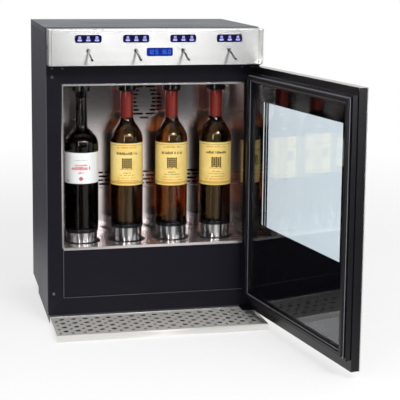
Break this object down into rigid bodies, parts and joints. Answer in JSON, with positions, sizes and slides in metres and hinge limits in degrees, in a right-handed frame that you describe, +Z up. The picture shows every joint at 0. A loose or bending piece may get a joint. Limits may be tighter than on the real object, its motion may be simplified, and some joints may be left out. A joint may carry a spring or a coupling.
{
  "type": "wine preservation dispenser",
  "caption": "Countertop wine dispenser: cooled cabinet with an open glass door, bottles on sprung lifts under stoppers, steel fascia with pour spouts and keypads, and a drip tray.",
  "frame": {"origin": "centre of the cabinet's footprint, on the surface it stands on", "axes": "+X to the right seen from the front, +Y from the door to the back, +Z up"},
  "size_m": [0.5599, 0.8436, 0.665],
  "materials": {
    "black_sheet": "satin",
    "black_plastic": "matte",
    "stainless": "brushed",
    "chrome": "polished",
    "black_rubber": "matte",
    "clear_glass": "polished",
    "dark_bottle_glass": "polished",
    "brown_bottle_glass": "polished",
    "keypad_blue": "gloss",
    "button_blue": "gloss",
    "display_blue": "gloss",
    "insulation": "matte",
    "circuit_board": "satin",
    "bare_aluminium": "satin",
    "brass": "satin",
    "grey_plastic": "matte"
  },
  "bodies": {
    "cabinet": {"base_plinth": "black_sheet", "side_panel_left": "black_sheet", "side_panel_right": "black_sheet", "rear_panel": "black_sheet", "top_lid": "black_sheet", "front_frame": "black_plastic", "lower_front_panel": "black_plastic", "chamber_wall_left": "stainless", "chamber_wall_right": "stainless", "chamber_ceiling": "stainless", "chamber_floor": "stainless", "chamber_back": "stainless", "foam_insulation": "insulation", "fascia": "stainless", "keypad_plates": "keypad_blue", "display_window": "display_blue", "control_board": "circuit_board", "pour_spouts": "chrome", "pour_valves": "brass", "bottle_stoppers": "black_rubber", "pickup_tubes": "stainless", "gas_manifold": "bare_aluminium", "gas_inlet": "brass", "lift_sleeves": "grey_plastic", "lift_spring_reels": "grey_plastic", "fan_housing": "black_plastic", "cooling_module": "bare_aluminium", "power_supply": "bare_aluminium", "power_inlet": "black_plastic", "hinge_brackets": "stainless", "cabinet_screws": "chrome"},
    "door": {"door_frame": "black_plastic", "door_trim": "stainless", "door_glass_outer": "clear_glass", "door_glass_inner": "clear_glass", "door_liner": "black_plastic", "door_gasket": "black_rubber"},
    "fan_wheel": {"fan_impeller": "black_plastic"},
    "tray": {"drip_tray": "stainless", "drip_grid": "stainless"},
    "lift_1": {"lift_cup_1": "chrome", "bottle_1": "dark_bottle_glass"},
    "lift_2": {"lift_cup_2": "chrome", "bottle_2": "brown_bottle_glass"},
    "lift_3": {"lift_cup_3": "chrome", "bottle_3": "brown_bottle_glass"},
    "lift_4": {"lift_cup_4": "chrome", "bottle_4": "brown_bottle_glass"},
    "button_1_small": {"dose_button_1_small": "button_blue"},
    "button_1_medium": {"dose_button_1_medium": "button_blue"},
    "button_1_large": {"dose_button_1_large": "button_blue"},
    "button_2_small": {"dose_button_2_small": "button_blue"},
    "button_2_medium": {"dose_button_2_medium": "button_blue"},
    "button_2_large": {"dose_button_2_large": "button_blue"},
    "button_3_small": {"dose_button_3_small": "button_blue"},
    "button_3_medium": {"dose_button_3_medium": "button_blue"},
    "button_3_large": {"dose_button_3_large": "button_blue"},
    "button_4_small": {"dose_button_4_small": "button_blue"},
    "button_4_medium": {"dose_button_4_medium": "button_blue"},
    "button_4_large": {"dose_button_4_large": "button_blue"}
  },
  "joints": [
    {"name": "door_hinge", "type": "hinge", "parent": "cabinet", "child": "door", "pos_m": [0.232, -0.199, 0.3], "axis": [0, 0, 1], "range_deg": [-99.3, 15.7]},
    {"name": "fan_spin", "type": "hinge", "parent": "cabinet", "child": "fan_wheel", "pos_m": [0.0035, -0.024, 0.4865], "axis": [0, 1, 0], "continuous": true},
    {"name": "tray_slide", "type": "slide", "parent": "cabinet", "child": "tray", "axis": [0, -1, 0], "range_m": [0, 0.12]},
    {"name": "lift_1_travel", "type": "slide", "parent": "cabinet", "child": "lift_1", "axis": [0, 0, -1], "range_m": [0, 0.03], "stiffness_N_per_m": 350, "springref_m": -0.08},
    {"name": "lift_2_travel", "type": "slide", "parent": "cabinet", "child": "lift_2", "axis": [0, 0, -1], "range_m": [0, 0.03], "stiffness_N_per_m": 350, "springref_m": -0.08},
    {"name": "lift_3_travel", "type": "slide", "parent": "cabinet", "child": "lift_3", "axis": [0, 0, -1], "range_m": [0, 0.03], "stiffness_N_per_m": 350, "springref_m": -0.08},
    {"name": "lift_4_travel", "type": "slide", "parent": "cabinet", "child": "lift_4", "axis": [0, 0, -1], "range_m": [0, 0.03], "stiffness_N_per_m": 350, "springref_m": -0.08},
    {"name": "dose_button_1_small_press", "type": "slide", "parent": "cabinet", "child": "button_1_small", "axis": [0, 1, 0], "range_m": [0, 0.0012], "stiffness_N_per_m": 400, "springref_m": -0.0006},
    {"name": "dose_button_1_medium_press", "type": "slide", "parent": "cabinet", "child": "button_1_medium", "axis": [0, 1, 0], "range_m": [0, 0.0012], "stiffness_N_per_m": 400, "springref_m": -0.0006},
    {"name": "dose_button_1_large_press", "type": "slide", "parent": "cabinet", "child": "button_1_large", "axis": [0, 1, 0], "range_m": [0, 0.0012], "stiffness_N_per_m": 400, "springref_m": -0.0006},
    {"name": "dose_button_2_small_press", "type": "slide", "parent": "cabinet", "child": "button_2_small", "axis": [0, 1, 0], "range_m": [0, 0.0012], "stiffness_N_per_m": 400, "springref_m": -0.0006},
    {"name": "dose_button_2_medium_press", "type": "slide", "parent": "cabinet", "child": "button_2_medium", "axis": [0, 1, 0], "range_m": [0, 0.0012], "stiffness_N_per_m": 400, "springref_m": -0.0006},
    {"name": "dose_button_2_large_press", "type": "slide", "parent": "cabinet", "child": "button_2_large", "axis": [0, 1, 0], "range_m": [0, 0.0012], "stiffness_N_per_m": 400, "springref_m": -0.0006},
    {"name": "dose_button_3_small_press", "type": "slide", "parent": "cabinet", "child": "button_3_small", "axis": [0, 1, 0], "range_m": [0, 0.0012], "stiffness_N_per_m": 400, "springref_m": -0.0006},
    {"name": "dose_button_3_medium_press", "type": "slide", "parent": "cabinet", "child": "button_3_medium", "axis": [0, 1, 0], "range_m": [0, 0.0012], "stiffness_N_per_m": 400, "springref_m": -0.0006},
    {"name": "dose_button_3_large_press", "type": "slide", "parent": "cabinet", "child": "button_3_large", "axis": [0, 1, 0], "range_m": [0, 0.0012], "stiffness_N_per_m": 400, "springref_m": -0.0006},
    {"name": "dose_button_4_small_press", "type": "slide", "parent": "cabinet", "child": "button_4_small", "axis": [0, 1, 0], "range_m": [0, 0.0012], "stiffness_N_per_m": 400, "springref_m": -0.0006},
    {"name": "dose_button_4_medium_press", "type": "slide", "parent": "cabinet", "child": "button_4_medium", "axis": [0, 1, 0], "range_m": [0, 0.0012], "stiffness_N_per_m": 400, "springref_m": -0.0006},
    {"name": "dose_button_4_large_press", "type": "slide", "parent": "cabinet", "child": "button_4_large", "axis": [0, 1, 0], "range_m": [0, 0.0012], "stiffness_N_per_m": 400, "springref_m": -0.0006}
  ]
}
